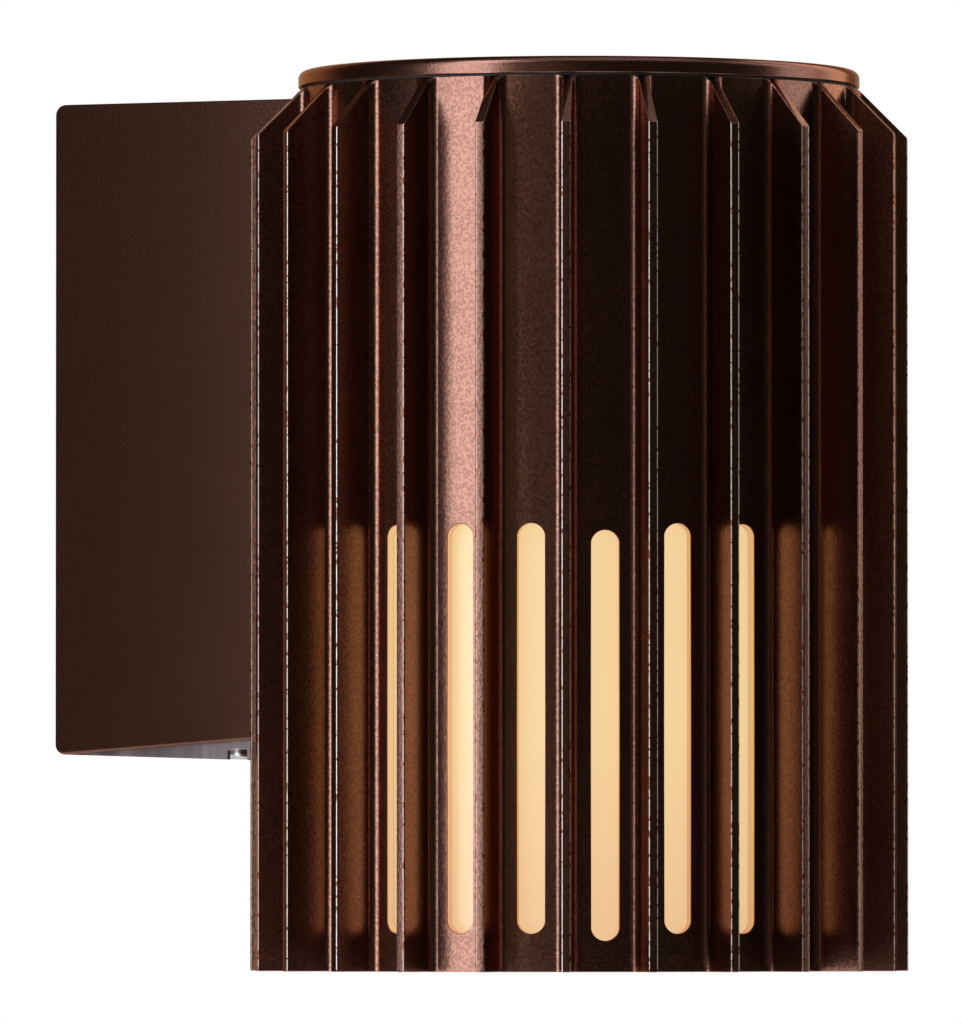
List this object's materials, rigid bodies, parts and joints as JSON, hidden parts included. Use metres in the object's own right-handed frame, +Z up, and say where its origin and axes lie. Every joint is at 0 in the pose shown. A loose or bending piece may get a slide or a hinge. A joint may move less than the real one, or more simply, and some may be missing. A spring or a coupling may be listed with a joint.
{
  "type": "outdoor wall light",
  "caption": "Finned metal tube with tall light slots over an opal diffuser, held off the wall by a box arm; the diffuser pulls down and the screw-in bulb turns out.",
  "frame": {"origin": "centre of the arm's wall face, on the wall surface", "axes": "+Z up, the wall is the plane Y = 0 and the light stands out towards -Y, +X to the right of a person who faces the wall"},
  "size_m": [0.1234, 0.1631, 0.17],
  "materials": {
    "bronze_paint": "satin metallic",
    "galvanised_sheet": "galvanised",
    "bare_sheet": "satin",
    "zinc_steel": "zinc plated",
    "brass": "satin",
    "bulb_metal": "satin",
    "black_rubber": "matte",
    "seal_silicone": "satin",
    "opal_plastic": "satin opal",
    "opal_globe": "frosted",
    "white_plastic": "satin",
    "black_plastic": "moulded",
    "brown_lead": "sleeved",
    "blue_lead": "sleeved",
    "green_yellow_lead": "sleeved"
  },
  "bodies": {
    "fixture": {"finned_body": "bronze_paint", "top_cap": "bronze_paint", "wall_arm": "bronze_paint", "cap_gasket": "black_rubber", "arm_gasket": "black_rubber", "wall_gasket": "black_rubber", "cable_grommet": "black_rubber", "diffuser_seal": "seal_silicone", "cap_stud": "zinc_steel", "cap_washer": "zinc_steel", "cap_nut": "zinc_steel", "mounting_plate": "galvanised_sheet", "wall_bracket": "galvanised_sheet", "lampholder_bracket": "galvanised_sheet", "bottom_cover": "bare_sheet", "plate_screws": "zinc_steel", "bracket_screws": "zinc_steel", "lampholder_screws": "zinc_steel", "arm_screws": "zinc_steel", "earth_screws": "brass", "terminal_screws": "zinc_steel", "cover_screw": "zinc_steel", "diffuser_ring": "white_plastic", "lampholder": "black_plastic", "lampholder_shell": "brass", "lampholder_contact": "brass", "terminal_block": "white_plastic", "live_lead": "brown_lead", "neutral_lead": "blue_lead", "earth_lead": "green_yellow_lead"},
    "diffuser": {"diffuser": "opal_plastic"},
    "bulb": {"bulb_cap": "bulb_metal", "bulb_contact": "black_plastic", "bulb_collar": "white_plastic", "bulb_globe": "opal_globe"}
  },
  "joints": [
    {"name": "diffuser_pull", "type": "slide", "parent": "fixture", "child": "diffuser", "axis": [0, 0, -1], "range_m": [0, 0.1]},
    {"name": "bulb_unscrew", "type": "hinge", "parent": "fixture", "child": "bulb", "pos_m": [0, -0.1014, -0.0231], "axis": [0, 0, -1], "range_deg": [0, 990]}
  ]
}
